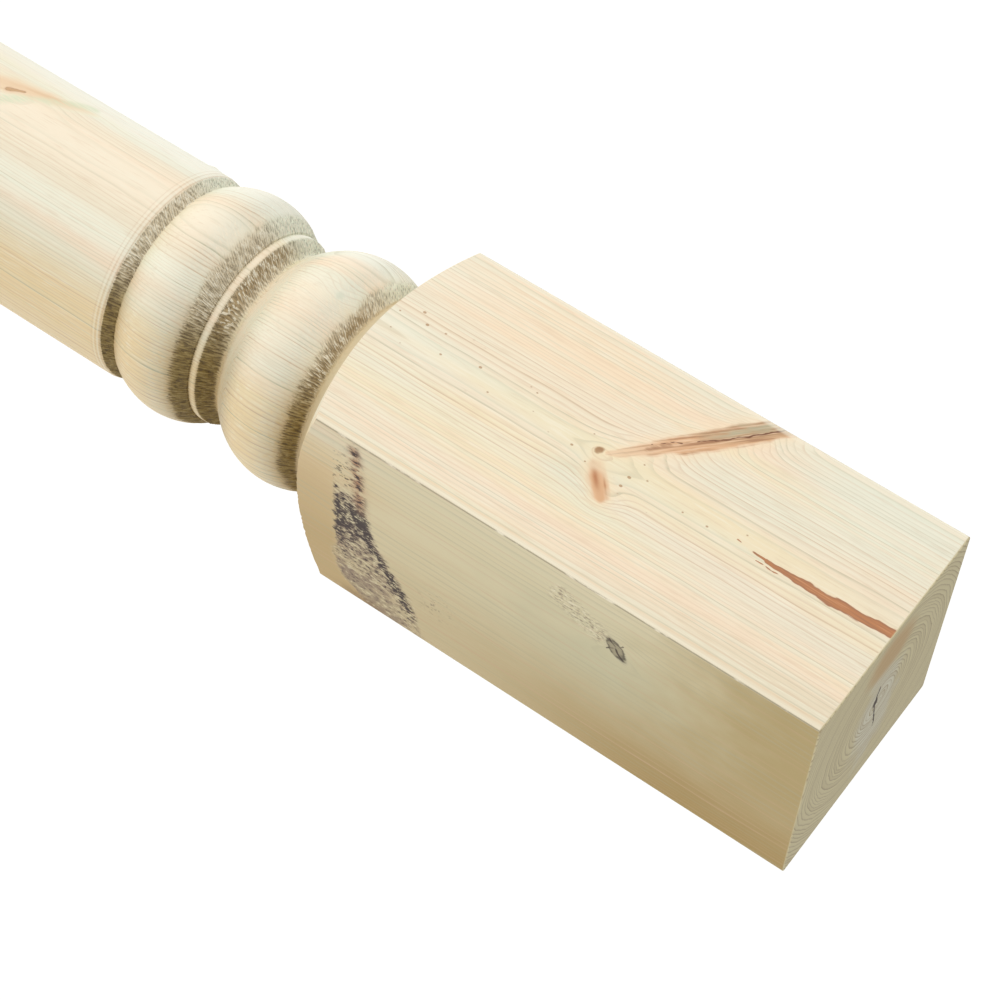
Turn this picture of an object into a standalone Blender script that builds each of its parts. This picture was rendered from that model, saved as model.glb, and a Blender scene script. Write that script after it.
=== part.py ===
# A turned deck post of treated pine, in one piece: a square block at each end, a round shaft
# between them, and a pair of beads at each end of the shaft. It stands on the end of its foot
# block. The origin is at the middle of that end, and +Z runs up the post.
import math

import bmesh
import bpy

# The square timber, in metres.
POST_LENGTH = 1.372         # foot to top, 54 inches
BLOCK_WIDTH = 0.089         # across the flats, a dressed four by four
ARRIS_EASE = 0.0008         # flat planed along each of the four long corners
TOP_ARRIS = 0.1905          # corner of the top block, from the sawn end to the shoulder
FOOT_ARRIS = 0.508          # the same corner on the foot block, which is bolted to the deck

# The turned shoulder that rounds each block off.
SHOULDER_RISE = 0.0093      # from the shoulder's corners to the middle of each flat
SHOULDER_REACH = 0.0049     # from there on to the bottom of the groove beside the shoulder

# Lengths of the turned members, from that groove to the shaft.
BLOCK_BEAD_RISE = 0.0169    # groove to the crest of the bead beside the block
BLOCK_BEAD_FALL = 0.0218    # that crest to the middle groove
MIDDLE_FLOOR = 0.0014       # flat floor of the middle groove
MIDDLE_FLANK = 0.0053       # slope from the floor up to the fillet
FILLET_WIDTH = 0.0031       # narrow flat band beside the second bead
SHAFT_BEAD_RISE = 0.0165    # fillet to the crest of the bead beside the shaft
SHAFT_BEAD_FALL = 0.0156    # that crest to the groove below the shaft
SHAFT_FLANK = 0.0044        # slope from that groove up to the shaft
SHAFT_ROLL = 0.0018         # softened edge of the shaft

# Depths of the turned members, under the flats of the blocks.
SHOULDER_GROOVE_DEPTH = 0.0067
BLOCK_BEAD_DEPTH = 0.0009
MIDDLE_GROOVE_DEPTH = 0.0113
FILLET_DEPTH = 0.0076
FILLET_STEP = 0.0006        # how much the second bead stands over the fillet
SHAFT_BEAD_DEPTH = 0.0011
SHAFT_GROOVE_DEPTH = 0.0060
SHAFT_DEPTH = 0.0039
SHAFT_ROLL_DEPTH = 0.0004   # how far the softened edge falls below the shaft

# Fineness of the facets.
ROUND_SIDES = 64
SHOULDER_STEPS = 5
BEAD_STEPS = 5
CLEARANCE = 0.005           # how far the turning runs clear of the square timber

PINE = {"color": (0.74, 0.61, 0.41, 1.0), "roughness": 0.7}

half_width = BLOCK_WIDTH / 2


def clear_scene():
    for thing in list(bpy.data.objects):
        bpy.data.objects.remove(thing, do_unlink=True)


def pine_material():
    material = bpy.data.materials.new("treated_pine")
    material.use_nodes = True
    shader = material.node_tree.nodes["Principled BSDF"]
    shader.inputs["Base Color"].default_value = PINE["color"]
    shader.inputs["Roughness"].default_value = PINE["roughness"]
    shader.inputs["Metallic"].default_value = 0.0
    return material


def shoulder_height(radius):
    """How far the shoulder stands past its corners, at a radius from the post's axis."""
    return SHOULDER_RISE * (2 - (radius / half_width) ** 2)


def shoulder():
    """The domed shoulder, from clear outside the timber in to the rim of its groove."""
    outside = half_width * math.sqrt(2) + CLEARANCE
    inside = half_width - SHOULDER_GROOVE_DEPTH / 2
    points = []
    for step in range(SHOULDER_STEPS + 1):
        radius = outside + (inside - outside) * step / SHOULDER_STEPS
        points.append((shoulder_height(radius), radius))
    return points


def bead_side(groove, crest):
    """A round from a groove to a bead's crest, level at the crest; either may come first."""
    length = crest[0] - groove[0]
    height = crest[1] - groove[1]
    round_radius = (length ** 2 + height ** 2) / (2 * height)
    sweep = 2 * math.atan2(height, length)
    points = []
    for step in range(BEAD_STEPS + 1):
        angle = sweep * (1 - step / BEAD_STEPS)
        points.append((
            crest[0] - round_radius * math.sin(angle),
            crest[1] - round_radius * (1 - math.cos(angle)),
        ))
    return points


def bead(start, crest, end):
    rise = bead_side(start, crest)
    mirrored = bead_side((2 * crest[0] - end[0], end[1]), crest)
    fall = [(2 * crest[0] - along, radius) for along, radius in reversed(mirrored)]
    return rise + fall[1:]


def turned_end():
    """Profile of one turned end as (distance past the shoulder's corners, radius)."""
    groove = (SHOULDER_RISE + SHOULDER_REACH, half_width - SHOULDER_GROOVE_DEPTH)
    crest = (groove[0] + BLOCK_BEAD_RISE, half_width - BLOCK_BEAD_DEPTH)
    middle = (crest[0] + BLOCK_BEAD_FALL, half_width - MIDDLE_GROOVE_DEPTH)
    points = shoulder() + bead(groove, crest, middle)

    floor_end = middle[0] + MIDDLE_FLOOR
    fillet_start = floor_end + MIDDLE_FLANK
    fillet_end = fillet_start + FILLET_WIDTH
    fillet_radius = half_width - FILLET_DEPTH
    points.append((floor_end, middle[1]))
    points.append((fillet_start, fillet_radius))
    points.append((fillet_end, fillet_radius))

    start = (fillet_end, fillet_radius + FILLET_STEP)
    crest = (start[0] + SHAFT_BEAD_RISE, half_width - SHAFT_BEAD_DEPTH)
    groove = (crest[0] + SHAFT_BEAD_FALL, half_width - SHAFT_GROOVE_DEPTH)
    points += bead(start, crest, groove)

    shaft_radius = half_width - SHAFT_DEPTH
    roll_start = groove[0] + SHAFT_FLANK
    points.append((roll_start, shaft_radius - SHAFT_ROLL_DEPTH))
    points.append((roll_start + SHAFT_ROLL, shaft_radius))
    return points


def post_profile():
    """Outline of the whole turning as (height, radius), from the top down to the foot."""
    end = turned_end()
    clear_radius = half_width * math.sqrt(2) + CLEARANCE
    shoulder_top = POST_LENGTH - TOP_ARRIS
    profile = [(POST_LENGTH + CLEARANCE, 0.0), (POST_LENGTH + CLEARANCE, clear_radius)]
    profile += [(shoulder_top - along, radius) for along, radius in end]
    profile += [(FOOT_ARRIS + along, radius) for along, radius in reversed(end)]
    profile += [(-CLEARANCE, clear_radius), (-CLEARANCE, 0.0)]
    return profile


def turning():
    """The turned envelope, spun about the post's axis: the post is what it leaves standing."""
    mesh = bpy.data.meshes.new("turning")
    work = bmesh.new()
    corners = [work.verts.new((radius, 0.0, height)) for height, radius in post_profile()]
    edges = [work.edges.new(pair) for pair in zip(corners, corners[1:])]
    bmesh.ops.spin(
        work,
        geom=corners + edges,
        cent=(0.0, 0.0, 0.0),
        axis=(0.0, 0.0, 1.0),
        angle=2 * math.pi,
        steps=ROUND_SIDES,
        use_merge=True,
    )
    bmesh.ops.remove_doubles(work, verts=work.verts, dist=0.00001)
    bmesh.ops.recalc_face_normals(work, faces=work.faces)
    work.to_mesh(mesh)
    work.free()
    mesh.shade_smooth()
    mesh.set_sharp_from_angle(angle=math.radians(30))
    cutter = bpy.data.objects.new("turning", mesh)
    bpy.context.collection.objects.link(cutter)
    cutter.hide_render = True
    cutter.display_type = "WIRE"
    return cutter


def timber():
    """The square timber with its long corners eased, standing on its foot."""
    mesh = bpy.data.meshes.new("turned_post")
    work = bmesh.new()
    bmesh.ops.create_cube(work, size=1.0)
    bmesh.ops.scale(work, vec=(BLOCK_WIDTH, BLOCK_WIDTH, POST_LENGTH), verts=work.verts)
    bmesh.ops.translate(work, vec=(0.0, 0.0, POST_LENGTH / 2), verts=work.verts)
    long_edges = [
        edge for edge in work.edges
        if abs(edge.verts[0].co.z - edge.verts[1].co.z) > POST_LENGTH / 2
    ]
    bmesh.ops.bevel(
        work, geom=long_edges, offset=ARRIS_EASE, segments=1, affect="EDGES",
    )
    work.to_mesh(mesh)
    work.free()
    return bpy.data.objects.new("turned_post", mesh)


def main():
    clear_scene()
    post = timber()
    bpy.context.collection.objects.link(post)
    post.data.materials.append(pine_material())
    turn = post.modifiers.new("turn", "BOOLEAN")
    turn.operation = "INTERSECT"
    turn.solver = "EXACT"
    turn.object = turning()


main()
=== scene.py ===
import math

import bmesh
import bpy
from mathutils import Euler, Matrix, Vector, noise


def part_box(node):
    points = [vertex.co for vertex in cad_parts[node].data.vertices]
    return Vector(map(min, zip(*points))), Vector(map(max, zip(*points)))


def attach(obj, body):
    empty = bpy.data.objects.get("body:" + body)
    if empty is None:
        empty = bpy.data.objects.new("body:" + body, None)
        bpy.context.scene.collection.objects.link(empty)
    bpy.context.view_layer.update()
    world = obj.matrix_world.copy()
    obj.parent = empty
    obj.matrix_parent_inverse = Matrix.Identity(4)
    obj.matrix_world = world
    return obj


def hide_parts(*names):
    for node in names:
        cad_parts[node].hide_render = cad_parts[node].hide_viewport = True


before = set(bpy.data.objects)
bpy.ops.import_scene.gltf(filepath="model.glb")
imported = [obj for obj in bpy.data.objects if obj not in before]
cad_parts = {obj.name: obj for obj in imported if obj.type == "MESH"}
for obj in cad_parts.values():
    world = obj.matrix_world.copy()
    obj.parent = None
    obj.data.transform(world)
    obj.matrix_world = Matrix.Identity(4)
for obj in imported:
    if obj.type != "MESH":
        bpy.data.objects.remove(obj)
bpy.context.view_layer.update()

postHigh = Vector(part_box("turned_post")[1])
postTop = postHigh.z
mm = 0.001
half = postHigh.x / mm              # half the block's width, in millimetres
print("frame loaded: post", round(postTop, 3), "m tall,", round(2 * half, 1), "mm square")


# Camera: where the photo was taken from, worked out from the corners of the shown block.
view = {
    "place": (0.44203, -0.72096, postTop + 0.13898),
    "right": (-0.58823, -0.03908, 0.80775),
    "up": (-0.64370, -0.58199, -0.49693),
    "lens": 95.6,
    "sensor": 36.0,
}


def setCamera():
    bpy.ops.object.camera_add()
    camera = bpy.context.object
    camera.name = "photoCamera"
    right = Vector(view["right"]).normalized()
    back = right.cross(Vector(view["up"])).normalized()
    turn = camera.matrix_world.to_3x3()
    turn.col[0], turn.col[1], turn.col[2] = right, back.cross(right), back
    camera.rotation_mode = "QUATERNION"
    camera.rotation_quaternion = turn.to_quaternion()
    camera.location = view["place"]
    camera.data.sensor_width = view["sensor"]
    camera.data.lens = view["lens"]
    camera.data.clip_end = 200.0
    bpy.context.scene.camera = camera


# Studio: a wide pale floor, an even sky and one broad soft lamp in front of the post.
studio = {
    "floorSize": 90.0,
    "floorTone": (0.95, 0.95, 0.95),
    "floorGlow": 0.48,
    "skyTone": (1.0, 0.995, 0.98),
    "skyStrength": 0.62,
    "keyPlace": (-0.30, -1.05, 0.92),
    "keyAim": (0.0, 0.0, 1.10),
    "keySize": 0.7,
    "keyPower": 2.6,
}


def setStudio():
    bpy.ops.object.select_all(action="DESELECT")
    bpy.ops.mesh.primitive_plane_add(size=studio["floorSize"], location=(0, 0, 0))
    floor = bpy.context.object
    floor.name = "floor"
    paint = bpy.data.materials.new("palePaper")
    paint.use_nodes = True
    shader = paint.node_tree.nodes["Principled BSDF"]
    shader.inputs["Base Color"].default_value = (*studio["floorTone"], 1)
    shader.inputs["Roughness"].default_value = 0.9
    shader.inputs["Specular IOR Level"].default_value = 0.1
    shader.inputs["Emission Color"].default_value = (1, 1, 1, 1)
    shader.inputs["Emission Strength"].default_value = studio["floorGlow"]
    floor.data.materials.append(paint)

    world = bpy.data.worlds.new("studio")
    world.use_nodes = True
    sky = world.node_tree.nodes["Background"]
    sky.inputs["Color"].default_value = (*studio["skyTone"], 1)
    sky.inputs["Strength"].default_value = studio["skyStrength"]
    bpy.context.scene.world = world

    aim = Vector(studio["keyAim"]) - Vector(studio["keyPlace"])
    bpy.ops.object.light_add(type="AREA", location=studio["keyPlace"])
    key = bpy.context.object
    key.name = "softKey"
    key.rotation_euler = aim.to_track_quat("-Z", "Y").to_euler()
    key.data.size = studio["keySize"]
    key.data.energy = studio["keyPower"]
    bpy.context.scene.view_settings.view_transform = "Standard"


# The turned post, in millimetres. Places are counted from the long corners of a block,
# where its shoulder starts, towards the shaft; depths are counted in from the flats.
post = {
    "topArris": 190.5, "footArris": 508.0,      # the long corners of the two blocks
    "ease": 0.5,                                # planed off the long corners
    "rimEase": 0.25,                            # worn off the rim of the sawn ends
    "shoulderRise": 9.3, "rimDepth": 3.35,
    "grooveAt": 14.2, "grooveDepth": 6.7,
    "blockBeadAt": 31.1, "blockBeadDepth": 0.9,
    "middleAt": 52.9, "middleDepth": 11.3, "middleFloor": 1.4,
    "filletFrom": 59.6, "filletTo": 62.7, "filletDepth": 7.6, "filletStep": 0.6,
    "shaftBeadAt": 79.2, "shaftBeadDepth": 1.1,
    "shaftGrooveAt": 94.8, "shaftGrooveDepth": 6.0,
    "rollFrom": 99.2, "rollTo": 101.0, "rollDepth": 0.4, "shaftDepth": 3.9,
    "fineEnd": 110.0,                           # where the fine mesh gives way to the shaft's
    "blockSides": 320, "beadSides": 540, "shaftSides": 160,
    "rimRows": (0.0, 0.25, 0.8, 2.0, 5.0), "rimCount": 6, "lipCount": 3,
    "blockGap": 7.0, "fineGap": 0.5, "crestGap": 1.3, "plainGap": 1.7,
    "shaftGap": 12.0, "footGap": 60.0,
}
# Torn grain, in millimetres: from where to where, over what length it sets in and fades out,
# how deep it is, and how far its ragged side wanders.
tearing = (
    {"from": 14.0, "to": 21.5, "setIn": 1.5, "fade": 4.0,
     "depth": 0.45, "wander": 1.4, "seed": 2.0},
    {"from": 52.5, "to": 59.8, "setIn": 3.0, "fade": 0.3,
     "depth": 0.60, "wander": 0.0, "seed": 9.0},
    {"from": 62.5, "to": 70.0, "setIn": 0.3, "fade": 4.0,
     "depth": 0.50, "wander": 1.2, "seed": 17.0},
    {"from": 94.0, "to": 99.3, "setIn": 0.5, "fade": 0.5,
     "depth": 0.50, "wander": 0.3, "seed": 31.0},
)
fleck = {"width": 0.95, "length": 2.6, "contrast": 1.7}
# A splinter stands off the shaft beside the beads, and the shoulder's rim is frayed at one side.
splinter = {"at": 107.9, "turn": -55.7, "long": 2.4, "wide": 1.5, "high": 0.6}
fray = {"reach": 0.75, "depth": 0.9, "pitch": 55.0}


# Radius on the round that is level at the crest and runs down into the groove.
def roundAt(at, groove, crest):
    length = crest[0] - groove[0]
    height = crest[1] - groove[1]
    radius = (length * length + height * height) / (2 * height)
    return crest[1] - radius + math.sqrt(max(radius * radius - (at - crest[0]) ** 2, 0.0))


def between(at, low, high):
    share = (at - low[0]) / (high[0] - low[0])
    return low[1] + (high[1] - low[1]) * share


def turnedRadius(at):
    groove = (post["grooveAt"], half - post["grooveDepth"])
    blockBead = (post["blockBeadAt"], half - post["blockBeadDepth"])
    middle = (post["middleAt"], half - post["middleDepth"])
    floorEnd = (post["middleAt"] + post["middleFloor"], middle[1])
    fillet = (post["filletFrom"], half - post["filletDepth"])
    beadFoot = (post["filletTo"], fillet[1] + post["filletStep"])
    shaftBead = (post["shaftBeadAt"], half - post["shaftBeadDepth"])
    shaftGroove = (post["shaftGrooveAt"], half - post["shaftGrooveDepth"])
    roll = (post["rollFrom"], half - post["shaftDepth"] - post["rollDepth"])
    shaft = (post["rollTo"], half - post["shaftDepth"])
    if at <= blockBead[0]:
        return roundAt(at, groove, blockBead)
    if at <= middle[0]:
        return roundAt(at, middle, blockBead)
    if at <= floorEnd[0]:
        return middle[1]
    if at <= fillet[0]:
        return between(at, floorEnd, fillet)
    if at <= beadFoot[0]:
        return fillet[1]
    if at <= shaftBead[0]:
        return roundAt(at, beadFoot, shaftBead)
    if at <= shaftGroove[0]:
        return roundAt(at, shaftGroove, shaftBead)
    if at <= roll[0]:
        return between(at, shaftGroove, roll)
    if at <= shaft[0]:
        return between(at, roll, shaft)
    return shaft[1]


# How torn the grain is there, from 0 to 1, and how deep the deepest tears go.
def tornAt(at, angle):
    ring = Vector((math.cos(angle) * 2.2, math.sin(angle) * 2.2, 0.0))
    most, depth = 0.0, 0.0
    for zone in tearing:
        if zone["from"] - 4 < at < zone["to"] + 4:
            sway = noise.noise(ring * 1.6 + Vector((0, 0, zone["seed"])))
            sway += 0.5 * noise.noise(ring * 9.0 + Vector((0, 0, zone["seed"])))
            rise = min(1.0, max(0.0, (at - zone["from"]) / zone["setIn"]))
            end = zone["to"] + zone["wander"] * sway
            fall = min(1.0, max(0.0, (end - at) / zone["fade"]))
            if rise * fall > most:
                most, depth = rise * fall, zone["depth"]
    return most, depth


# A turned point as (place, radius, how torn, how pitted), with its tear cut in.
def turnedPoint(at, angle):
    radius = turnedRadius(at)
    most, depth = tornAt(at, angle)
    if most == 0:
        return at, radius, 0.0, 0.5
    x, y = 43 * math.cos(angle) / fleck["width"], 43 * math.sin(angle) / fleck["width"]
    tear = noise.noise(Vector((x, y, at / fleck["length"])))
    pit = min(1.0, max(0.0, 0.5 + tear * fleck["contrast"] / 2))
    slope = (turnedRadius(at + 0.2) - turnedRadius(at - 0.2)) / 0.4
    level = math.hypot(1.0, slope)
    cut = most * depth * pit
    return at + cut * slope / level, radius - cut / level, most, pit


def evenAngles(sides):
    return [math.tau * side / sides - math.pi for side in range(sides + 1)]


# Directions around the post, with three of them gathered on each long corner.
def cornerAngles(sides):
    angles = evenAngles(sides)
    for corner in range(4):
        middle = sides // 8 + corner * sides // 4
        pull = math.pi / 4 - math.atan2(half - post["ease"], half)
        angles[middle - 1] = angles[middle] - pull
        angles[middle + 1] = angles[middle] + pull
    return angles


def squareRadius(angle):
    flat = half / max(abs(math.cos(angle)), abs(math.sin(angle)))
    lean = abs(abs(angle) % (math.pi / 2) - math.pi / 4)
    chamfer = (half * math.sqrt(2) - post["ease"] / math.sqrt(2)) / math.cos(lean)
    return min(flat, chamfer)


# Distance past the corners at which the shoulder has this radius.
def shoulderAt(radius):
    rim = half - post["rimDepth"]
    dome = post["shoulderRise"] * (2 - (max(radius, rim) / half) ** 2)
    if radius >= rim:
        return dome
    return between(radius, (rim, dome), (half - post["grooveDepth"], post["grooveAt"]))


# Rows of a block from its sawn end to its groove: each turns a direction into a point.
def blockRows(arris, gap):
    rows = []
    for near in post["rimRows"]:
        worn = post["rimEase"] if near == 0 else 0.0
        rows.append(lambda angle, near=near, worn=worn: (near, squareRadius(angle) - worn, 0, 0))
    last = post["rimRows"][-1]
    count = round((arris - last) / gap)
    for row in range(1, count + 1):
        def along(angle, share=row / count):
            flat = squareRadius(angle)
            end = arris + shoulderAt(flat)
            if share == 1 and abs(angle) < fray["reach"]:
                chip = noise.noise(Vector((angle * fray["pitch"], 0, arris)))
                end -= fray["depth"] * max(0.0, chip)
            return last + (end - last) * share, flat, 0, 0
        rows.append(along)
    rim, floor = half - post["rimDepth"], half - post["grooveDepth"]
    inward = [(1 - row / post["rimCount"], rim, None) for row in range(1, post["rimCount"] + 1)]
    inward += [(1 - row / post["lipCount"], floor, rim) for row in range(1, post["lipCount"] + 1)]
    for share, low, high in inward:
        def across(angle, share=share, low=low, high=high):
            outer = squareRadius(angle) if high is None else high
            radius = low + (outer - low) * share
            return arris + shoulderAt(radius), radius, 0, 0
        rows.append(across)
    return rows


# The same rows with their heights in metres, counted from the post's top or its foot.
def fromTop(row, start=0.0):
    def place(angle):
        down, radius, most, pit = row(angle)
        return postTop - (start + down) * mm, radius, most, pit
    return place


def fromFoot(row, start=0.0):
    def place(angle):
        up, radius, most, pit = row(angle)
        return (start + up) * mm, radius, most, pit
    return place


def turnedRow(at):
    return lambda angle: turnedPoint(at, angle)


def splinteredRow(at):
    def row(angle):
        place, radius, most, pit = turnedPoint(at, angle)
        along = (at - splinter["at"]) / splinter["long"]
        around = math.remainder(angle - math.radians(splinter["turn"] - 90), math.tau)
        around = around * radius / splinter["wide"]
        lift = max(0.0, 1 - along * along - around * around)
        return place, radius + splinter["high"] * lift, most, pit
    return row


# A flat grid wrapped round the post: a column for each direction, a row for each height.
def wrapGrid(name, angles, rows):
    bpy.ops.object.select_all(action="DESELECT")
    columns, count = len(angles) - 1, len(rows) - 1
    bpy.ops.mesh.primitive_grid_add(x_subdivisions=columns, y_subdivisions=count, size=2)
    piece = bpy.context.object
    piece.name = name
    torn = piece.data.attributes.new("torn", "FLOAT", "POINT")
    cut = piece.data.attributes.new("cut", "FLOAT", "POINT")
    for vertex in piece.data.vertices:
        column = round((vertex.co.x + 1) / 2 * columns)
        row = round((vertex.co.y + 1) / 2 * count)
        angle = angles[column % columns]
        height, radius, most, pit = rows[row](angle)
        vertex.co = (radius * math.cos(angle) * mm, radius * math.sin(angle) * mm, height)
        torn.data[vertex.index].value = most
        cut.data[vertex.index].value = pit
    return piece


def steps(start, end, gap):
    count = max(1, round((end - start) / gap))
    return [start + (end - start) * step / count for step in range(count)]


# Places of the rows from a block's groove to the shaft, with a gap for each member.
def beadPlaces(gaps):
    marks = [post["grooveAt"] + 0.3, 23.0, 48.6, post["middleAt"],
             post["middleAt"] + post["middleFloor"], post["filletFrom"], post["filletTo"],
             post["filletTo"] + 0.05, 74.0, 93.6, post["shaftGrooveAt"], post["rollFrom"],
             post["rollTo"]]
    places = []
    for start, end, gap in zip(marks, marks[1:], gaps):
        places += steps(start, end, gap)
    return places + [post["rollTo"]]


def selectRim(piece, height, reach):
    bpy.ops.mesh.select_all(action="DESELECT")
    work = bmesh.from_edit_mesh(piece.data)
    for edge in work.edges:
        middle = (edge.verts[0].co.z + edge.verts[1].co.z) / 2
        edge.select_set(edge.is_boundary and abs(middle - height) < reach)
    bmesh.update_edit_mesh(piece.data)


def makePost():
    rows = [fromTop(row) for row in blockRows(post["topArris"], post["blockGap"])]
    topBlock = wrapGrid("turnedPost", cornerAngles(post["blockSides"]), rows)

    fine, crest = post["fineGap"], post["crestGap"]
    gaps = (fine, crest, fine, fine, fine, 0.8, 0.1, fine, crest, fine, fine, 0.6)
    places = beadPlaces(gaps) + steps(post["rollTo"] + 1, post["fineEnd"], crest)
    rows = [fromTop(splinteredRow(at), post["topArris"]) for at in places]
    beads = wrapGrid("beads", evenAngles(post["beadSides"]), rows)
    fineHeight = postTop - (post["topArris"] + places[-1]) * mm

    plain = post["plainGap"]
    span = postTop / mm - post["topArris"] - post["footArris"]
    places = steps(post["fineEnd"], span - post["rollTo"], post["shaftGap"])
    rows = [fromTop(turnedRow(at), post["topArris"]) for at in places]
    places = beadPlaces((plain,) * 5 + (1.0, 0.1) + (plain,) * 5)
    rows += [fromFoot(turnedRow(at), post["footArris"]) for at in reversed(places)]
    rows += [fromFoot(row) for row in reversed(blockRows(post["footArris"], post["footGap"]))]
    rest = wrapGrid("shaftAndFoot", cornerAngles(post["shaftSides"]), rows)

    bpy.ops.object.select_all(action="DESELECT")
    for part in (beads, rest, topBlock):
        part.select_set(True)
    bpy.context.view_layer.objects.active = topBlock
    bpy.ops.object.join()
    bpy.ops.object.mode_set(mode="EDIT")
    bpy.ops.mesh.select_all(action="SELECT")
    bpy.ops.mesh.remove_doubles(threshold=0.000002)

    # join the three where they meet, then fill the sawn ends
    grooveHeight = postTop - (post["topArris"] + post["grooveAt"]) * mm
    for height in (grooveHeight, fineHeight):
        selectRim(topBlock, height, 2 * mm)
        bpy.ops.mesh.bridge_edge_loops()
    for height in (0.0, postTop):
        selectRim(topBlock, height, 1 * mm)
        bpy.ops.mesh.edge_face_add()
    bpy.ops.mesh.select_all(action="SELECT")
    bpy.ops.mesh.normals_make_consistent(inside=False)
    bpy.ops.mesh.select_all(action="DESELECT")
    bpy.ops.object.mode_set(mode="OBJECT")
    bpy.ops.object.shade_smooth_by_angle(angle=math.radians(38))
    return topBlock


# Shader maths: an expression on these adds its nodes to the material.
class Wire:
    def __init__(self, tree, socket=None):
        self.tree = tree
        self.socket = socket

    def node(self, kind, settings, values, output=0):
        made = self.tree.nodes.new(kind)
        for name, value in settings.items():
            setattr(made, name, value)
        for place, value in values.items():
            if isinstance(value, Wire):
                self.tree.links.new(value.socket, made.inputs[place])
            else:
                made.inputs[place].default_value = value
        return Wire(self.tree, made.outputs[output])

    def math(self, operation, *values):
        return self.node("ShaderNodeMath", {"operation": operation}, dict(enumerate(values)))

    def __add__(self, other):
        return self.math("ADD", self, other)

    def __radd__(self, other):
        return self.math("ADD", other, self)

    def __sub__(self, other):
        return self.math("SUBTRACT", self, other)

    def __rsub__(self, other):
        return self.math("SUBTRACT", other, self)

    def __mul__(self, other):
        return self.math("MULTIPLY", self, other)

    def __rmul__(self, other):
        return self.math("MULTIPLY", other, self)

    def __truediv__(self, other):
        return self.math("DIVIDE", self, other)

    def __pow__(self, other):
        return self.math("POWER", self, other)

    def size(self):
        return self.math("ABSOLUTE", self)

    def most(self, other):
        return self.math("MAXIMUM", self, other)

    def least(self, other):
        return self.math("MINIMUM", self, other)

    def sine(self):
        return self.math("SINE", self)

    # 0 before start, 1 past end, smooth between them; start may be the larger
    def rise(self, start, end):
        settings = {"interpolation_type": "SMOOTHSTEP"}
        return self.node("ShaderNodeMapRange", settings, {0: self, 1: start, 2: end})

    # 1 at the centre, falling off over this width
    def bell(self, centre, width):
        away = (self - centre) / width
        return self.math("EXPONENT", away * away * -1.0)

    def vector(self, operation, *values, output=0):
        settings = {"operation": operation}
        return self.node("ShaderNodeVectorMath", settings, dict(enumerate(values)), output)

    # one part of a vector or a colour
    def part(self, index):
        kind = "ShaderNodeSeparateColor" if self.socket.type == "RGBA" else "ShaderNodeSeparateXYZ"
        return self.node(kind, {}, {0: self}, index)

    def placed(self, move, turn, scale):
        return self.node("ShaderNodeMapping", {}, {0: self, 1: move, 2: turn, 3: scale})

    # noise with these lengths across, out and down the post, in millimetres; colour or value
    def noise(self, lengths, detail=1.0, colour=False, shift=0.0):
        scale = tuple(1 / length for length in lengths)
        spread = self.placed((shift, shift, shift), (0, 0, 0), scale)
        values = {"Vector": spread, "Scale": 1.0, "Detail": detail, "Roughness": 0.55}
        return self.node("ShaderNodeTexNoise", {}, values, "Color" if colour else "Fac")

    # this mask lays one colour over another
    def over(self, under, colour, kind="MIX"):
        settings = {"data_type": "RGBA", "blend_type": kind}
        return self.node("ShaderNodeMix", settings, {0: self, 6: under, 7: colour}, 2)


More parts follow.
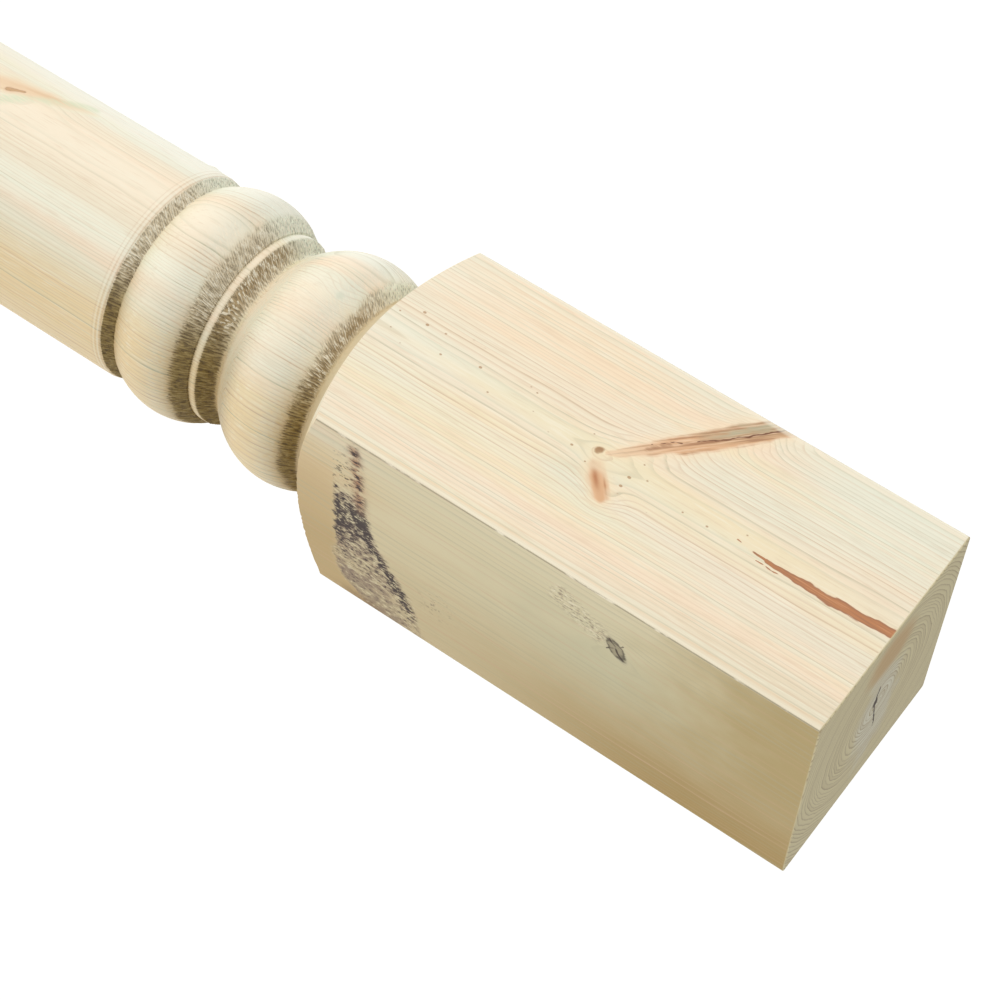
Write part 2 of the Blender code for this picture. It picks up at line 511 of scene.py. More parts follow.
# The wood. Places are (across, out, down) in millimetres: across the face that is uppermost in
# the photo, out towards that face from the middle of the post, and down from the top's sawn end.
grain = {
    "blockWidth": 1.6, "turnedWidth": 1.3,      # of one ring
    "blockPith": (-1.0, 14.0),                  # where the rings are centred in the blocks
    "turnedPith": (-2.0, 58.0),                 # in the shaft and the second bead
    "beadPith": (-30.0, 50.0),                  # and in the bead beside the block
    "flatStep": 0.62,                           # how fast rings follow each other on the flats
    "closeFrom": 12.0, "closer": 0.45,          # and faster still past this place
    "sway": 7.0, "swayLengths": (60, 60, 420),  # slow bends of the rings
    "warp": 1.3, "warpLengths": (11, 11, 85),   # small ones
    "lineDepth": 0.55,
}
tones = {
    "clean": (0.880, 0.775, 0.590, 1), "peach": (0.930, 0.740, 0.545, 1),
    "green": (0.815, 0.820, 0.665, 1), "straw": (0.900, 0.780, 0.500, 1),
    "latewood": (0.610, 0.425, 0.255, 1), "greyLine": (0.490, 0.440, 0.280, 1),
    "shadeGolden": (0.870, 0.680, 0.375, 1), "amberShade": (0.440, 0.300, 0.105, 1),
    "film": (0.760, 0.680, 0.445, 1), "greenFilm": (0.600, 0.560, 0.360, 1),
    "brownFilm": (0.485, 0.365, 0.155, 1), "sideBand": (0.610, 0.450, 0.225, 1),
    "endGrain": (0.705, 0.625, 0.385, 1), "endLine": (0.470, 0.380, 0.220, 1),
    "bleached": (0.740, 0.720, 0.600, 1), "orange": (0.580, 0.370, 0.165, 1),
    "tornPitShade": (0.120, 0.080, 0.035, 1), "tornMiddle": (0.760, 0.650, 0.455, 1),
    "tornRidgeHighlight": (0.960, 0.890, 0.710, 1), "tornGreen": (0.930, 0.950, 0.760, 1),
    "lipShade": (0.620, 0.500, 0.300, 1), "flankShadeGrey": (0.660, 0.675, 0.560, 1),
    "shadeHigh": (0.870, 0.885, 0.780, 1), "shadeLow": (0.500, 0.400, 0.210, 1),
    "soot": (0.042, 0.025, 0.022, 1), "mould": (0.290, 0.205, 0.140, 1),
    "brownMould": (0.270, 0.160, 0.075, 1), "greenStreak": (0.690, 0.740, 0.520, 1),
    "rust": (0.440, 0.245, 0.130, 1), "pitch": (0.510, 0.215, 0.088, 1),
    "pitchEdge": (0.350, 0.125, 0.048, 1), "speck": (0.440, 0.250, 0.110, 1),
    "pitchPale": (0.680, 0.360, 0.190, 1), "halo": (0.900, 0.700, 0.460, 1),
    "crack": (0.060, 0.036, 0.022, 1), "redCrack": (0.170, 0.060, 0.025, 1),
    "arrisLine": (0.390, 0.330, 0.205, 1), "arrisPale": (0.930, 0.860, 0.690, 1),
    "knotGrey": (0.480, 0.450, 0.300, 1), "heartStreak": (0.400, 0.200, 0.100, 1),
    "tornWarm": (0.400, 0.270, 0.120, 1),
    "tornShadeAmber": (0.225, 0.145, 0.030, 1), "tornGold": (0.560, 0.420, 0.170, 1),
}
# Looks of a plain round knot: its tones, how ragged and soft its edge is, and how strong it is.
darkKnot = {
    "long": False, "rough": 0.6, "soft": 0.12, "heart": (0.560, 0.350, 0.180, 1),
    "rim": (0.330, 0.200, 0.100, 1), "rimDepth": 0.6, "halo": (0.800, 0.640, 0.400, 1),
    "strength": 0.85,
}
paleKnot = {
    **darkKnot, "heart": (0.600, 0.390, 0.210, 1), "rim": (0.360, 0.220, 0.110, 1),
    "halo": (0.820, 0.670, 0.430, 1),
}
deadKnot = {
    **darkKnot, "soft": 0.10, "heart": (0.300, 0.250, 0.150, 1),
    "rim": (0.120, 0.095, 0.060, 1), "rimDepth": 0.8, "halo": (0.700, 0.600, 0.390, 1),
    "strength": 0.9,
}
# The knots: from the pith out to where each ends, its half width at both, how far and over what
# distance it pushes the rings aside, and its looks.
knots = (
    # the long knot that runs out over the edge of the upper face
    {"from": (-1.2, 44.8, 108.6), "to": (-50.0, 44.8, 62.0), "near": 0.8, "far": 5.6,
     "push": 8.5, "reach": 6.5, "long": True, "rough": 1.0, "soft": 0.30,
     "streak": 0.75, "heart": (0.740, 0.425, 0.228, 1), "rim": (0.860, 0.610, 0.400, 1),
     "outer": (0.480, 0.330, 0.185, 1), "dark": (0.360, 0.170, 0.080, 1),
     "halo": (0.930, 0.740, 0.500, 1), "strength": 0.95},
    # the small round one at its root, and the reddish oval below that
    {"from": (-0.9, 40.0, 111.4), "to": (-0.9, 46.0, 111.4), "near": 1.35, "far": 1.35,
     "push": 1.5, "reach": 3.5, "long": False, "rough": 0.6, "soft": 0.35,
     "heart": (0.370, 0.195, 0.085, 1), "rim": (0.520, 0.340, 0.170, 1), "rimDepth": 0.4,
     "halo": (0.900, 0.710, 0.450, 1), "strength": 0.95},
    {"from": (4.8, 44.5, 109.4), "to": (14.0, 44.5, 101.0), "near": 2.8, "far": 2.4,
     "push": 4.2, "reach": 7.0, "long": True, "rough": 0.0, "soft": 0.55,
     "streak": 1.7, "heart": (0.750, 0.440, 0.240, 1),
     "outer": (0.720, 0.420, 0.225, 1), "dark": (0.460, 0.165, 0.055, 1),
     "halo": (0.900, 0.720, 0.470, 1), "strength": 0.9},
    # the grey dead knot in the side face
    {"from": (10.0, 10.0, 80.0), "to": (50.0, 22.5, 70.4), "near": 3.0, "far": 5.2,
     "push": 3.0, "reach": 8.0, "long": False, "rough": 0.7, "soft": 0.10,
     "squash": ((44.5, 20.8, 71.7), (0, 0.615, -0.789), 0.055),
     "heart": (0.390, 0.335, 0.210, 1), "rim": (0.110, 0.090, 0.055, 1), "rimDepth": 0.9,
     "halo": (0.640, 0.570, 0.380, 1), "strength": 1.0},
    # the long knot in the shaft, the two small eyes in the beads, and that knot's dark heart
    {"from": (-18.5, 37.0, 338.0), "to": (-4.0, 40.5, 384.0), "near": 1.0, "far": 4.2,
     "push": 5.0, "reach": 7.0, "long": True, "rough": 0.0, "soft": 0.8,
     "streak": 1.2, "heart": (0.850, 0.590, 0.370, 1),
     "outer": (0.860, 0.650, 0.430, 1), "dark": (0.760, 0.530, 0.310, 1),
     "halo": (0.850, 0.830, 0.620, 1), "strength": 0.75},
    {"from": (-1.5, 30.0, 217.5), "to": (-1.5, 46.0, 216.5), "near": 1.0, "far": 1.3,
     "push": 4.0, "reach": 8.0, "long": False, "rough": 0.6, "soft": 0.7,
     "heart": (0.700, 0.700, 0.540, 1), "rim": (0.760, 0.760, 0.600, 1), "rimDepth": 0.4,
     "halo": (0.840, 0.830, 0.670, 1), "strength": 0.7, "faintLines": 0.7},
    {"from": (-16.0, 26.0, 258.0), "to": (-24.0, 40.0, 256.5), "near": 1.2, "far": 1.6,
     "push": 4.5, "reach": 9.0, "long": False, "rough": 0.6, "soft": 0.7,
     "heart": (0.780, 0.760, 0.600, 1), "rim": (0.800, 0.790, 0.640, 1), "rimDepth": 0.4,
     "halo": (0.850, 0.830, 0.680, 1), "strength": 0.7, "faintLines": 0.6},
    {"from": (-6.2, 40.1, 369.0), "to": (-9.3, 39.6, 363.8), "near": 0.85, "far": 0.5,
     "push": 0.5, "reach": 4.0, "long": False, "rough": 1.1, "soft": 0.9,
     "heart": (0.560, 0.330, 0.160, 1), "rim": (0.300, 0.150, 0.070, 1), "rimDepth": 0.7,
     "halo": (0.800, 0.540, 0.330, 1), "strength": 0.85},
    # plainer ones where the photo doesn't look
    {"from": (0.0, 0.0, 118.0), "to": (12.0, -52.0, 96.0), "near": 4.0, "far": 7.0,
     "push": 6.0, "reach": 12.0, **darkKnot},
    {"from": (0.0, 5.0, 620.0), "to": (50.0, -6.0, 600.0), "near": 4.0, "far": 8.0,
     "push": 6.0, "reach": 13.0, **paleKnot},
    {"from": (0.0, 5.0, 615.0), "to": (-36.0, -40.0, 590.0), "near": 3.0, "far": 6.0,
     "push": 5.0, "reach": 10.0, **deadKnot},
    {"from": (0.0, 0.0, 1090.0), "to": (-10.0, 52.0, 1060.0), "near": 4.0, "far": 8.0,
     "push": 6.0, "reach": 13.0, **darkKnot},
    {"from": (0.0, 0.0, 1085.0), "to": (52.0, 8.0, 1068.0), "near": 3.0, "far": 6.0,
     "push": 5.0, "reach": 10.0, **paleKnot},
)
# Soft patches of another tone: centre, half sizes, tone and strength.
patches = (
    ((-32, 45, 150), (24, 16, 75), (0.935, 0.745, 0.520, 1), 0.8),
    ((-34, 45, 22), (20, 16, 48), (0.825, 0.835, 0.690, 1), 0.8),
    ((-1, 45, 85), (9, 12, 105), (0.880, 0.745, 0.480, 1), 0.6),
    ((-12, 45, 58), (9, 12, 40), (0.820, 0.810, 0.650, 1), 0.6),
    ((12, 45, 112), (8, 8, 16), (0.760, 0.750, 0.580, 1), 0.6),
    ((18, 45, 30), (12, 12, 70), (0.890, 0.745, 0.580, 1), 0.6),
    ((42, 45, 20), (13, 12, 80), (0.810, 0.700, 0.510, 1), 0.85),
    ((8, 45, 185), (12, 16, 30), (0.850, 0.820, 0.660, 1), 0.5),
    ((0, 42, 330), (13, 14, 160), (0.935, 0.830, 0.650, 1), 0.8),
    ((21, 36, 330), (7, 10, 150), (0.900, 0.900, 0.740, 1), 0.8),
    ((-32, 30, 300), (22, 24, 190), (0.920, 0.930, 0.820, 1), 0.9),
)


# Distance from a line between two places, and how far along it the nearest place is.
def alongLine(spot, start, end):
    run = Vector(end) - Vector(start)
    lead = spot.vector("SUBTRACT", spot, start)
    share = lead.vector("DOT_PRODUCT", lead, tuple(run / run.length_squared), output=1)
    share = share.node("ShaderNodeClamp", {}, {0: share})
    foot = share.node("ShaderNodeVectorMath", {"operation": "SCALE"}, {0: tuple(run), 3: share})
    return share, lead.vector("DISTANCE", lead, foot, output=1)


# Distance from a centre, in half sizes of an oval round it.
def awayFrom(spot, centre, halfSize):
    away = spot.vector("SUBTRACT", spot, centre)
    away = away.vector("DIVIDE", away, halfSize)
    return away.vector("LENGTH", away, output=1)


# Rings of the tree, as (darkness of its lines, a number of each ring's own).
def rings(spot, across, out, reach, at, turned, sawn, reaches):
    sway = spot.noise(grain["swayLengths"], 1.0, colour=True)
    warp = spot.noise(grain["warpLengths"], 2.0, shift=7.0)
    block, bead, shaft = grain["blockPith"], grain["beadPith"], grain["turnedPith"]
    beyond = at.rise(46, 52)
    pithAcross = turned * (beyond * (shaft[0] - bead[0]) + (bead[0] - block[0])) + block[0]
    pithOut = turned * (beyond * (shaft[1] - bead[1]) + (bead[1] - block[1])) + block[1]
    pithOut = pithOut - sawn * 12
    onRound = (reach / 43 - 1) * turned * -0.85 + 1
    fromAcross = across * onRound - pithAcross - (sway.part(0) - 0.5) * grain["sway"]
    fromOut = out * onRound - pithOut - (sway.part(1) - 0.5) * grain["sway"]
    circles = (fromAcross * fromAcross + fromOut * fromOut) ** 0.5
    # the flat faces show them as stripes along the post
    stripes = (fromAcross * fromAcross + 1.5) ** 0.5 + (fromOut * fromOut + 6) ** 0.5
    flat = (1 - turned) * (1 - sawn)
    closer = (across.size() - grain["closeFrom"]).most(0) * grain["closer"]
    radius = circles + flat * (stripes * grain["flatStep"] + closer - circles)
    radius = radius + (warp - 0.5) * grain["warp"] * 2
    for knot, (share, distance) in zip(knots, reaches):
        push = distance.bell(0, knot["reach"]) * knot["push"]
        radius = radius - (push * (share * 0.75 + 0.25) if knot["long"] else push)
    wider = grain["turnedWidth"] - grain["blockWidth"]
    count = radius / (turned * wider + grain["blockWidth"])
    count = count + (count * 0.8).sine() * 0.30
    count = count + (count * 0.29).sine() * 0.45
    ring = count.math("FLOOR", count)
    within = count - ring
    own = ring.node("ShaderNodeTexWhiteNoise", {"noise_dimensions": "1D"}, {"W": ring}, "Value")
    line = (within.rise(0.62, 0.90) + within.rise(0.20, 0.85) * 0.25) * within.rise(1.0, 0.95)
    return line, own


# A knot that lies along the surface: pale and dark red streaks lengthwise, a darker middle, and
# grey-green along the side nearer the shaft.
def layLongKnot(wood, spot, knot, share, distance):
    run = Vector(knot["to"]) - Vector(knot["from"])
    slant = Euler((0, math.atan2(run.z, run.x), 0))
    root = Vector(knot["from"])
    root.rotate(slant)
    lengthwise = spot.placed(tuple(-root), tuple(slant), (1, 1, 1))
    side = lengthwise.part(2)
    streak = lengthwise.noise((19, 19, knot["streak"]), 3.0, shift=61.0)
    blotch = lengthwise.noise((11, 11, 2.6), 2.0, shift=66.0)
    width = (share ** 0.6) * (knot["far"] - knot["near"]) + knot["near"]
    strength, rough = knot["strength"], knot["rough"]
    level = side / width
    narrow = share.rise(0.45, 1.0) * level.rise(0.0, 0.25) * rough
    ends = share.bell(0.5, 0.45) * (1 - rough)
    reach = distance / width * (narrow * 1.3 + 1.25 - ends * 0.25 - rough * 0.25)
    reach = reach + (streak - 0.5) * 0.6 + (blotch - 0.5) * 0.5
    wood = (reach.rise(2.8, 0.7) * 0.6 * strength).over(wood, knot["halo"])
    inside = reach.rise(1 + knot["soft"], 1 - knot["soft"]) * (share.rise(0.0, 0.4) * 0.6 + 0.4)
    inside = inside * strength
    wood = inside.over(wood, knot["heart"])
    wood = (share.rise(0.30, 0.7) * inside * level.rise(0.9, -0.2) * 0.75).over(wood, knot["outer"])
    dark = knot["dark"]
    if rough:
        wood = (streak.rise(0.50, 0.62) * inside * 0.75).over(wood, knot["rim"])
        wood = (blotch.rise(0.48, 0.34) * inside * 0.40).over(wood, dark)
        wood = (streak.rise(0.47, 0.37) * inside * 0.65).over(wood, dark)
    else:
        core = level.bell(0.20, 0.38) * share.bell(0.40, 0.34) * blotch.rise(0.25, 0.5)
        core = core + level.bell(-0.85, 0.14) * share.bell(0.70, 0.26)
        return (core * inside * 0.9).over(wood, dark)
    middle = level.bell(0.02, 0.22) * share.rise(0.14, 0.26) * share.rise(1.1, 0.5)
    wood = (middle * inside * streak.rise(0.62, 0.45) * 0.8).over(wood, dark)
    grey = level.rise(0.1, -0.5) * share.rise(0.42, 0.58) * inside
    wood = (grey * blotch.rise(0.35, 0.60) * 0.85).over(wood, tones["knotGrey"])
    rim = level.bell(-0.95, 0.10) * share.rise(0.45, 0.6) * streak.rise(0.65, 0.4)
    rim = rim * reach.rise(2.6, 1.8)
    return (rim * strength * 0.6).over(wood, dark)


def layKnots(wood, spot, bent, reaches, fibre, grit):
    for knot, (share, distance) in zip(knots, reaches):
        if knot["long"]:
            wood = layLongKnot(wood, spot, knot, share, distance)
            continue
        soft, strength = knot["soft"], knot["strength"]
        width = share * (knot["far"] - knot["near"]) + knot["near"]
        reach = distance / width + (fibre - 0.5) * 0.5 + (grit - 0.5) * knot["rough"]
        if "squash" in knot:
            middle, minor, more = knot["squash"]
            beside = spot.vector("SUBTRACT", spot, middle)
            beside = beside.vector("DOT_PRODUCT", beside, minor, output=1)
            reach = reach + beside * beside * more
        wood = (reach.rise(2.4, 0.8) * 0.5 * strength).over(wood, knot["halo"])
        wood = (reach.rise(1 + soft, 1 - soft) * strength).over(wood, knot["heart"])
        edge = reach.bell(0.88, 0.20) * grit.rise(0.30, 0.50)
        edge = edge + reach.rise(0.9, 0.3) * grit.rise(0.56, 0.66)
        wood = (edge * knot["rimDepth"] * strength).over(wood, knot["rim"])
    return wood


# The resin streak with its thin tails, as (start, end, half width at each).
resin = (
    ((1.6, 44.6, -2), (3.2, 44.6, 24), 1.75, 1.85),
    ((3.2, 44.6, 24), (2.5, 44.6, 46), 1.85, 0.8),
    ((2.5, 44.6, 46), (1.3, 44.6, 58), 0.55, 0.25),
    ((4.6, 44.6, 36), (4.4, 44.6, 49), 0.3, 0.2),
)
# Cracks, as (start, end, half width): in the long knot, in the grey knot and in the sawn ends.
redCracks = (
    ((-13.0, 44.6, 100.0), (-26.5, 44.6, 84.4), 0.18),
    ((-26.5, 44.6, 84.4), (-45.5, 44.6, 67.0), 0.32),
)
greyCracks = (
    ((44.6, 24.5, 74.6), (44.6, 16.8, 68.6), 0.42),
    ((44.6, 24.2, 69.4), (44.6, 21.0, 72.2), 0.30),
    ((44.6, 20.5, 72.5), (44.6, 18.6, 75.2), 0.28),
)
endCracks = (
    ((0.7, 13.3, 0), (1.4, 6.0, 0), 0.45),
    ((1.5, 5.6, 0), (1.5, 3.2, 0), 1.3),
    ((1.2, 3.0, 0), (-2.2, -14.0, 0), 0.4),
)


# Cracks, specks, the resin streak and the other small marks of the top block.
def layMarks(wood, spot, bent, across, out, down, fibre):
    upper = out.rise(43.6, 44.3)
    side = across.rise(43.6, 44.3)

    # resin streak
    reach = 9.0
    for start, end, wide, thin in resin:
        share, distance = alongLine(bent, start, end)
        reach = (distance / (share * (thin - wide) + wide)).least(reach)
    vein = spot.noise((0.55, 0.55, 16), 3.0, shift=71.0)
    reach = reach + (vein - 0.5) * 0.8
    wood = (reach.rise(1.9, 0.9) * upper * 0.4).over(wood, tones["halo"])
    wood = (reach.rise(1.12, 0.92) * upper * 0.92).over(wood, tones["pitchEdge"])
    wood = (reach.rise(0.95, 0.45) * upper * vein.rise(0.30, 0.52)).over(wood, tones["pitch"])
    paler = reach.rise(0.8, 0.3) * upper * vein.rise(0.52, 0.66)
    wood = (paler * 0.7).over(wood, tones["pitchPale"])

    # brown specks along the middle of the upper face
    flat = spot.placed((0, 0, 0), (0, 0, 0), (1 / 3.6, 0, 1 / 4.8))
    cells = flat.node("ShaderNodeTexVoronoi", {}, {"Vector": flat, "Scale": 1.0})
    pick = Wire(flat.tree, cells.socket.node.outputs["Color"])
    band = (across + down * 0.075 - 9).bell(0, 8) * upper * (down.rise(44, 60) * 0.9 + 0.1)
    size = pick.part(1) * 0.07 + 0.08
    dots = (cells - size).rise(0.03, -0.03) * pick.part(0).rise(0.45, 0.47)
    wood = (dots * band.rise(0.2, 0.5) * 0.8).over(wood, tones["speck"])

    # green streak along the shaft's long knot
    distance = alongLine(bent, (1.5, 40.6, 370.0), (-21.0, 35.0, 342.0))[1]
    wood = (distance.rise(3.6, 0.6) * fibre.rise(0.7, 0.4) * 0.8).over(wood, tones["greenStreak"])

    # dark red flare near the long knot's root
    distance = alongLine(bent, (-10.5, 44.6, 99.6), (-17.0, 44.6, 95.0))[1]
    flare = distance.rise(1.5, 0.3) * upper * fibre.rise(0.35, 0.55)
    wood = (flare * 0.6).over(wood, tones["heartStreak"])

    # crack in the long knot, and the short ones in the grey knot
    for cracks, face, tone, amount in ((redCracks, upper, "redCrack", 0.95),
                                       (greyCracks, side, "crack", 0.92)):
        for start, end, width in cracks:
            distance = alongLine(bent, start, end)[1]
            mark = distance.rise(width * 1.5, width * 0.6) * face
            wood = (mark * amount).over(wood, tones[tone])
    return wood


# The weathered film on the side face, which starts short of the shoulder, with painted shade over
# the side: golden and amber, deepening towards its edge away from the upper face.
def layFilm(wood, across, out, down, tone, fibre, cloud):
    flank = across.rise(40.8, 42.0) * down.rise(207, 203)
    line = out.rise(-31, -46) * 14 + down + (cloud - 0.5) * 6
    start = line.rise(186, 178) + out.rise(10, 22) * (down.rise(192, 150) - line.rise(186, 178))
    film = across.rise(43.9, 44.35) * start
    # painted shade: a golden band and amber over the side, stronger towards its edge away from the
    # upper face
    wood = (flank * (out.rise(44, 0) * 0.75 + 0.2)).over(wood, tones["sideBand"])
    wood = (flank * out.rise(0, -20) * 0.35).over(wood, tones["amberShade"])
    thick = tone.rise(0.35, 0.65) * 0.12 + 0.72 + (fibre - 0.5) * 0.6
    wood = (film * thick).over(wood, tones["film"])
    wash = (cloud - 0.5) * 40
    grey = (down + wash).bell(74, 44) * (out + wash * 0.4).bell(6, 24)
    wood = (film * grey * 0.85).over(wood, tones["greenFilm"])
    brown = (down + wash).rise(80, 8) * out.rise(-44, 6) * 0.95
    wood = (film * brown).over(wood, tones["brownFilm"])
    # painted shade: amber towards the face's edge away from the upper face
    low = (out + wash * 0.3).rise(14, -40) * (down.rise(150, 40) * 0.65 + 0.35)
    wood = (film * low).over(wood, tones["amberShade"])
    return wood


# Black mould near the shoulder: a brown-grey wash, soot in specks over it, and a darker band
# along the side away from the shoulder.
def layMould(wood, spot, out, down, side, cloud, grit):
    fine = spot.noise((0.8, 0.8, 1.7), 3.0, shift=3.0)
    edge = out.rise(16, -44) * -25 + 172.5 + (cloud - 0.5) * 10 + (grit - 0.5) * 9
    end = out.rise(-31, -46) * 14 + down + (cloud - 0.5) * 7 + (grit - 0.5) * 5
    inside = (down - edge).rise(-1.0, 1.5) * side * end.rise(184.4, 183.0)
    thick = out.rise(20, 8) * out.rise(-50, -12)
    pale = out.rise(22, 8)
    mottle = (grit * 1.3 + cloud * 0.9 + fine * 0.7).rise(1.15, 1.70)
    wash = inside * (thick * 0.25 + pale * 0.75) * (mottle * 0.85 + 0.15)
    wood = wash.over(wood, tones["mould"])
    strip = out.rise(-38, -43) * down.bell(172, 9) * side * grit.rise(0.25, 0.5)
    wood = (strip * 0.7).over(wood, tones["brownMould"])
    band = (down - edge).bell(4.0, 2.8) * out.rise(14, 2) * out.rise(-46, -30)
    patch = down.rise(168, 182) * out.bell(-1, 12)
    dark = thick * 0.26 + band * 0.42 + patch * 0.38 + (grit - 0.5) * 0.9 + (fine - 0.5) * 1.9
    wood = (dark.rise(0.22, 0.68) * inside * 0.96).over(wood, tones["soot"])
    wood = (fine.rise(0.45, 0.37) * grit.rise(0.62, 0.45) * inside * 0.55).over(wood, tones["film"])
    spots = (fine * 1.2 + grit * 0.8).rise(1.12, 1.20) * out.rise(0, 12) * out.rise(37, 27)
    wood = (spots * inside * 0.85).over(wood, tones["soot"])
    red = (down - out * 0.08).bell(172.0, 2.4) * out.rise(44.5, 38) * out.rise(4, 14) * side
    red = red * grit.rise(0.25, 0.55)
    wood = red.over(wood, tones["rust"])
    wood = (red * (fine + grit * 0.7).rise(0.80, 0.95)).over(wood, tones["soot"])
    dots = (fine + grit * 0.6).rise(0.88, 0.96) * down.bell(141, 6) * out.bell(-19, 6) * side
    wood = (dots * 0.8).over(wood, tones["mould"])

    # a patch of pits beside the grey knot
    distance = alongLine(spot, (44.6, 31.0, 93.0), (44.6, 24.0, 79.0))[1]
    pitted = distance.rise(7.5, 2.0) * side
    wood = (pitted * fine.rise(0.54, 0.64) * 0.75).over(wood, tones["mould"])
    return (pitted * fine.rise(0.46, 0.34) * 0.6).over(wood, tones["arrisPale"])


# Thin lines that the chisel left before the shaft, as (place past the arris, tone, strength).
turnedLines = (
    (99.6, "latewood", 0.5), (100.4, "arrisPale", 0.7), (101.2, "latewood", 0.4),
    (102.0, "arrisPale", 0.5), (102.9, "latewood", 0.25),
)


# Fresh wood, torn wood and the sawn ends, all in one material.
def pineMaterial():
    paint = bpy.data.materials.new("treatedPine")
    paint.use_nodes = True
    tree = paint.node_tree
    shader = tree.nodes["Principled BSDF"]
    place = Wire(tree).node("ShaderNodeTexCoord", {}, {}, "Object")
    spot = place.placed((0, 0, postTop / mm), (0, 0, 0), (1000, -1000, -1000))
    across, out, down = (spot.part(index) for index in range(3))
    shake = spot.noise((5, 5, 8), 2.0, colour=True, shift=21.0)
    bent = spot.node("ShaderNodeCombineXYZ", {}, {
        index: spot.part(index) + (shake.part(index) - 0.5) * 2.4 for index in range(3)})
    fibre = spot.noise((0.7, 0.7, 13), 3.0)
    grit = spot.noise((2.2, 2.2, 4.0), 3.0, shift=41.0)
    tone = spot.noise((14, 14, 230), 1.0, colour=True, shift=5.0)
    footUp = postTop / mm - down
    at = (down - post["topArris"]).least(footUp - post["footArris"])
    turned = at.rise(10, 20)
    reach = (across * across + out * out) ** 0.5
    sawn = down.rise(0.7, 0.2).most(footUp.rise(0.7, 0.2))

    reaches = [alongLine(bent, knot["from"], knot["to"]) for knot in knots]
    line, own = rings(spot, across, out, reach, at, turned, sawn, reaches)

    # broad tones, then the lines of the rings
    wood = (tone.part(0).rise(0.50, 0.66) * 0.7).over(tones["clean"], tones["peach"])
    wood = (tone.part(1).rise(0.50, 0.64) * 0.7).over(wood, tones["green"])
    wood = (tone.part(2).rise(0.54, 0.70) * 0.5).over(wood, tones["straw"])
    for centre, halfSize, patchTone, strength in patches:
        near = awayFrom(bent, centre, halfSize)
        wood = (near.rise(1.1, 0.3) * strength).over(wood, patchTone)
    lean = (across - out * 0.9) / 45
    # painted shade: a golden tint that grows over the side away from the lamp
    wood = (lean.rise(-0.05, 0.62) * 0.9).over(wood, tones["shadeGolden"])
    cloud = spot.noise((9, 9, 16), 2.0, shift=11.0)
    tint = own.math("FRACT", own * 3.7)
    tinted = 1 - turned * 0.6
    wood = (tint.rise(0.55, 0.95) * tinted * 0.30).over(wood, tones["peach"])
    wood = (tint.rise(0.45, 0.05) * tinted * 0.28).over(wood, tones["green"])
    wood = (fibre.rise(0.52, 0.72) * 0.24).over(wood, tones["latewood"])
    wood = (fibre.rise(0.48, 0.30) * 0.50).over(wood, tones["arrisPale"])
    wood = layFilm(wood, across, out, down, tone.part(0), fibre, cloud)

    # painted shade: the ring lines are drawn darker on the bead flanks beside the grooves, and on
    # the turned side away from the lamp
    besides = (at.bell(25, 5) + at.bell(73, 5) + at.bell(47, 4)) * turned
    depth = line * (own * own * 0.7 + 0.3) * (besides * 1.5 + turned * lean.most(0) * 0.6 + 1)
    # fainter round the two small eyes in the beads
    for knot, (share, distance) in zip(knots, reaches):
        if "faintLines" in knot:
            depth = depth * (1 - distance.bell(0, 13) * knot["faintLines"])
    depth = depth * (fibre.rise(0.70, 0.35) * 0.5 + 0.5)
    depth = depth * (1 - at.rise(98, 104) * lean.rise(-0.1, -0.6) * 0.35 + (1 - turned) * 0.2)
    lineTone = own.math("FRACT", own * 7.3).rise(0.60, 0.72)
    lineTone = lineTone.over(tones["latewood"], tones["greyLine"])
    wood = (depth * grain["lineDepth"]).over(wood, lineTone)
    wood = layMould(wood, spot, out, down, across.rise(43.9, 44.35), cloud, grit)
    wood = layKnots(wood, spot, bent, reaches, fibre, grit)
    wood = layMarks(wood, spot, bent, across, out, down, fibre)

    # the long corners: a thin broken dark line on the chamfer, and a painted highlight on the
    # chamfer and along the upper face's edge beside it
    corner = across.size() + out.size()
    offset = across.size() - out.size()
    scuff = spot.noise((1.6, 1.6, 7), 3.0, shift=31.0)
    flats = 1 - turned
    # painted highlight along the upper face's edge and on the chamfer
    pale = corner.rise(86.4, 87.8) * corner.rise(88.5, 88.3) * out.rise(43.5, 44.3)
    wood = (pale * flats * 0.55).over(wood, tones["arrisPale"])
    wood = (corner.rise(88.3, 88.42) * flats * 0.7).over(wood, tones["arrisPale"])
    dark = corner.rise(88.2, 88.4) * offset.rise(-0.15, 0.1) * offset.rise(0.75, 0.45)
    wood = (dark * scuff.rise(0.34, 0.50) * flats * 0.9).over(wood, tones["arrisLine"])

    # sawn ends
    end = tones["endGrain"]
    white = awayFrom(bent, (-1, -4, 0), (13, 30, 900)) + (cloud - 0.5) * 1.2
    end = (white.rise(1.15, 0.65) * 0.75).over(end, tones["bleached"])
    end = (own.rise(0.5, 1.0) * 0.35).over(end, tones["endLine"])
    end = (line * (own * 0.6 + 0.45) * (grit * 0.6 + 0.7)).over(end, tones["endLine"])
    stain = awayFrom(bent, (-1, 31, 0), (15, 11, 900))
    end = (stain.rise(1.2, 0.5) * 0.75).over(end, tones["orange"])
    for start, finish, width in endCracks:
        distance = alongLine(bent, start, finish)[1]
        end = distance.rise(width * 1.4, width * 0.6).over(end, tones["crack"])
    wood = sawn.over(wood, end)

    # the shade in the grooves, darker and browner on the side away from the light
    below = lean.rise(-0.50, 0.48)
    grooved = at.rise(9.5, 12) * at.rise(99.6, 98.4)
    low = reach.rise(43.4, 37.5) * grooved
    low = low * (1 - at.bell(61.1, 1.4) * 0.85 - at.bell(50.3, 2.6) * 0.45)
    shadeTone = below.over(tones["shadeHigh"], tones["shadeLow"])
    wood = (low * 0.8).over(wood, shadeTone, "MULTIPLY")
    flanks = at.rise(29, 19) + at.rise(64, 66) * at.rise(75, 68) * 0.6
    wood = (flanks * below * grooved * 0.55).over(wood, tones["shadeLow"], "MULTIPLY")
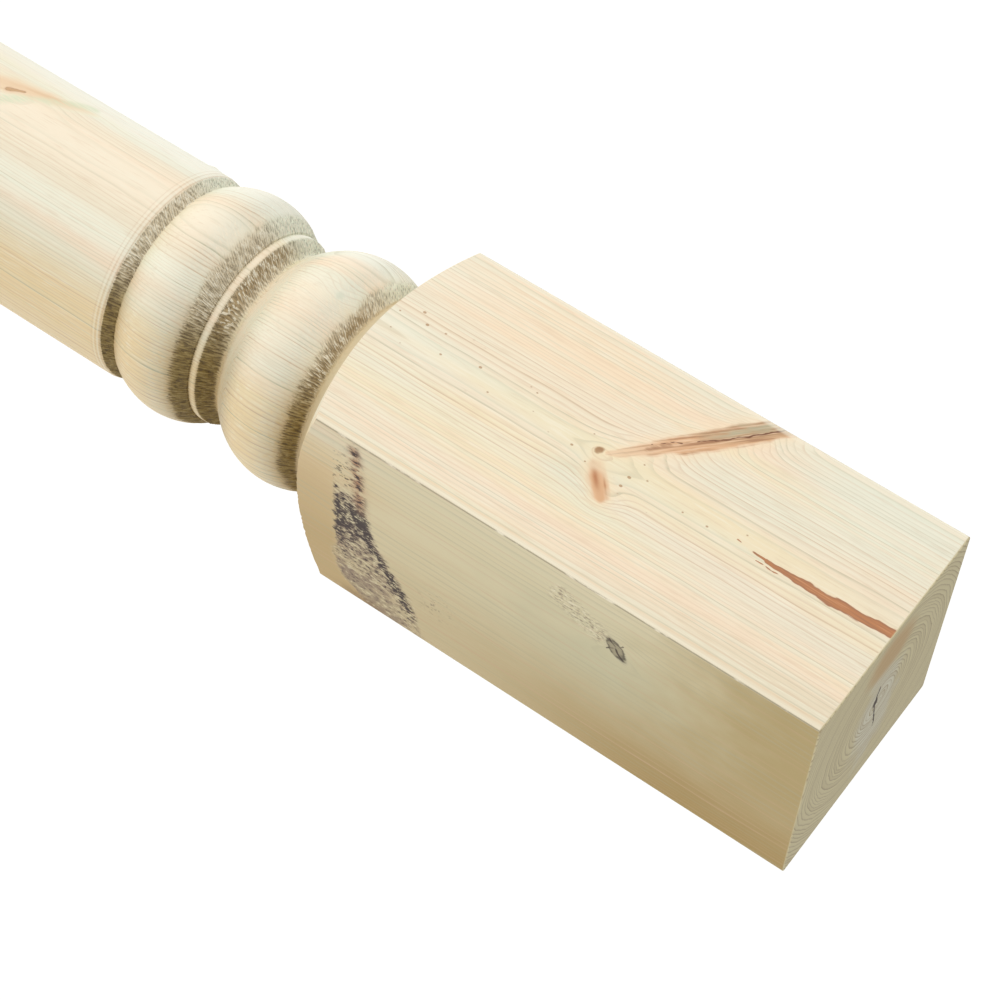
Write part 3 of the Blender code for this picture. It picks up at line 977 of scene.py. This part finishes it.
    # painted shade on the shoulder's lip where it turns down into the groove
    lipShade = reach.rise(44.3, 41) * at.rise(16.5, 14.5) * at.rise(3, 6)
    wood = (lipShade * 0.75).over(wood, tones["lipShade"])

    # torn grain: fine ridges and pits slantwise down the slopes, and a painted grey-green shade on
    # the bead flanks beside them
    torn = Wire(tree).node("ShaderNodeAttribute", {"attribute_name": "torn"}, {}, "Fac")
    cut = Wire(tree).node("ShaderNodeAttribute", {"attribute_name": "cut"}, {}, "Fac")
    local = (at - 34.5).math("FLOORED_MODULO", at - 34.5, 25.0) - 12.5
    slant = across.rise(26, 8) * local * 0.8
    unit = spot.node("ShaderNodeCombineXYZ", {}, {
        0: (across * 43 + out * slant) / reach, 1: (out * 43 - across * slant) / reach, 2: at})
    strokes = unit.noise((0.60, 0.60, 1.6), 2.0, shift=51.0)
    comb = (across.math("ARCTAN2", across, out) * 235 + slant * 5.46 + strokes * 11).sine()
    # painted shade: grey-green on the bead flanks beside the grooves
    wood = (besides * strokes.rise(0.2, 0.6) * 0.35).over(wood, tones["flankShadeGrey"])
    for past, lineName, amount in turnedLines:
        wood = (at.bell(past, 0.22) * amount).over(wood, tones[lineName])
    # painted light and shade over the torn fibres' colour: lighter and greener on the side toward
    # the lamp, darker and amber on the side away from it
    ragged = across.rise(-4, -24).over(tones["tornMiddle"], tones["tornGreen"])
    # the flank's painted grey-green shade at the edge of the middle groove's torn band
    ragged = (at.bell(51.0, 2.4) * 0.7).over(ragged, tones["flankShadeGrey"])
    warm = at.bell(58.0, 2.4) * across.rise(-24, -8) + at.bell(16.5, 2) * across.rise(-10, 2)
    ragged = (warm * 0.80).over(ragged, tones["tornWarm"])
    ragged = (below * 0.95).over(ragged, tones["tornShadeAmber"])
    # painted highlight on the ridges, cream on the side toward the lamp and gold on the side away
    # from it, and painted shade in the pits
    level = (cut - 0.5) * 0.30 + (strokes - 0.5) * 0.75 + comb * 0.085
    light = below.rise(0.3, 1.0).over(tones["tornRidgeHighlight"], tones["tornGold"])
    ragged = (level.rise(-0.03, -0.12) * (0.95 - below * 0.6)).over(ragged, light)
    ragged = (level.rise(0.04, 0.14) * (0.42 + below * 0.45)).over(ragged, tones["tornPitShade"])
    raw = (torn + (strokes - 0.5) * 0.9 + comb * 0.10).rise(0.25, 0.75)
    wood = (raw * 0.92).over(wood, ragged)
    tree.links.new(wood.socket, shader.inputs["Base Color"])

    # relief, in millimetres: turning marks, planer marks, fibres and torn grain
    lathe = (down * (math.tau / 1.9)).sine() * turned * 0.004
    planer = (down * (math.tau / 4.0)).sine() * (1 - turned) * 0.004
    relief = lathe + planer + (fibre - 0.5) * 0.03 - torn * level * 1.3
    bump = relief.node("ShaderNodeBump", {}, {"Strength": 1.0, "Distance": mm, "Height": relief})
    tree.links.new(bump.socket, shader.inputs["Normal"])
    rough = fibre * 0.12 + 0.52 + torn * 0.2
    tree.links.new(rough.socket, shader.inputs["Roughness"])
    shader.inputs["Specular IOR Level"].default_value = 0.35
    return paint


setCamera()
setStudio()
print("camera, floor and lamps set")

turnedPost = makePost()
print("post modelled:", len(turnedPost.data.polygons), "faces")

turnedPost.data.materials.append(pineMaterial())
print("wood finished:", len(turnedPost.data.materials[0].node_tree.nodes), "shader nodes")

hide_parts("turned_post")
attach(turnedPost, "root")
